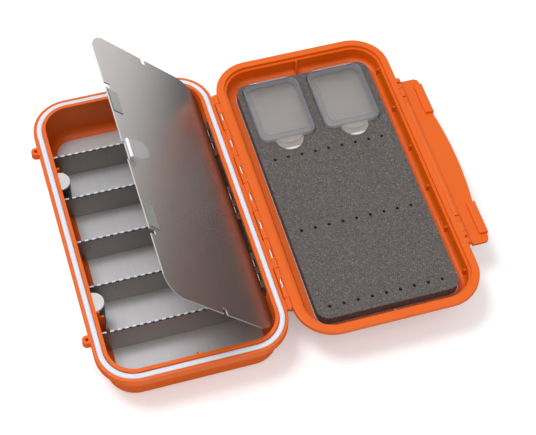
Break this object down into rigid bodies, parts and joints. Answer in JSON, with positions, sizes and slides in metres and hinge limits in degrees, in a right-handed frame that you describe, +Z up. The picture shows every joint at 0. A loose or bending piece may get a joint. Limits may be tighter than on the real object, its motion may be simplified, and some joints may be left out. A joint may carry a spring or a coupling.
{
  "type": "fly box",
  "caption": "Waterproof hinged fly box, open flat: compartment base with steel flip page and seal, foam-lined lid with small clear boxes and a long hook latch.",
  "frame": {"origin": "centre of the base's flat underside, where it stands on the table", "axes": "+X across the hinge from the base to the open lid, +Y along the hinge to the rear, +Z up"},
  "size_m": [0.2424, 0.2, 0.0958],
  "materials": {
    "case_orange": "satin injection-moulded ABS",
    "seal_white": "smooth silicone rubber bead",
    "plate_steel": "rolled stainless sheet, satin",
    "page_steel": "fine-grained stainless sheet",
    "divider_steel": "stamped stainless strip",
    "post_black": "black moulded plastic",
    "magnet_nickel": "nickel-plated magnet",
    "pin_steel": "drawn steel wire",
    "clear_plastic": "clear polypropylene",
    "foam_grey": "closed-cell slit foam"
  },
  "bodies": {
    "base": {"base_shell": "case_orange", "rim_gasket": "seal_white", "floor_plate": "plate_steel", "divider_1": "divider_steel", "divider_2": "divider_steel", "divider_3": "divider_steel", "divider_4": "divider_steel", "divider_5": "divider_steel", "magnet_post_rear": "post_black", "magnet_post_front": "post_black", "magnet_disc_rear": "magnet_nickel", "magnet_disc_front": "magnet_nickel", "page_hinge_leaf": "page_steel", "page_hinge_pin": "pin_steel", "case_hinge_pin": "pin_steel"},
    "page": {"page_plate": "page_steel", "catch_plate_rear": "plate_steel", "catch_plate_front": "plate_steel", "pull_tab": "clear_plastic"},
    "lid": {"lid_shell": "case_orange", "lid_plate": "plate_steel", "foam_pad": "foam_grey", "latch_pin": "pin_steel"},
    "latch": {"latch_plate": "case_orange"},
    "box_left": {"box_tray_left": "clear_plastic", "box_pin_left": "pin_steel"},
    "box_left_cover": {"box_cover_left": "clear_plastic"},
    "box_right": {"box_tray_right": "clear_plastic", "box_pin_right": "pin_steel"},
    "box_right_cover": {"box_cover_right": "clear_plastic"}
  },
  "joints": [
    {"name": "lid_hinge", "type": "hinge", "parent": "base", "child": "lid", "pos_m": [0.05655, 0, 0.0271], "axis": [0, -1, 0], "range_deg": [0, 180]},
    {"name": "page_hinge", "type": "hinge", "parent": "base", "child": "page", "pos_m": [0.04573, 0, 0.02495], "axis": [0, -1, 0], "range_deg": [0, 48.75]},
    {"name": "latch_hinge", "type": "hinge", "parent": "lid", "child": "latch", "pos_m": [0.1681, -0.0003, 0.0245], "axis": [0, -1, 0], "range_deg": [0, 90]},
    {"name": "box_left_lift", "type": "slide", "parent": "lid", "child": "box_left", "axis": [0, 0, -1], "range_m": [-0.009, 0]},
    {"name": "box_left_cover_hinge", "type": "hinge", "parent": "box_left", "child": "box_left_cover", "pos_m": [0.09205, 0.08275, 0.02505], "axis": [1, 0, 0], "range_deg": [-105, 0]},
    {"name": "box_right_lift", "type": "slide", "parent": "lid", "child": "box_right", "axis": [0, 0, -1], "range_m": [-0.009, 0]},
    {"name": "box_right_cover_hinge", "type": "hinge", "parent": "box_right", "child": "box_right_cover", "pos_m": [0.13295, 0.08275, 0.02505], "axis": [1, 0, 0], "range_deg": [-105, 0]}
  ],
  "couplings": [
    {"joint": "page_hinge", "follows": "lid_hinge", "ratio": 0.27082}
  ]
}
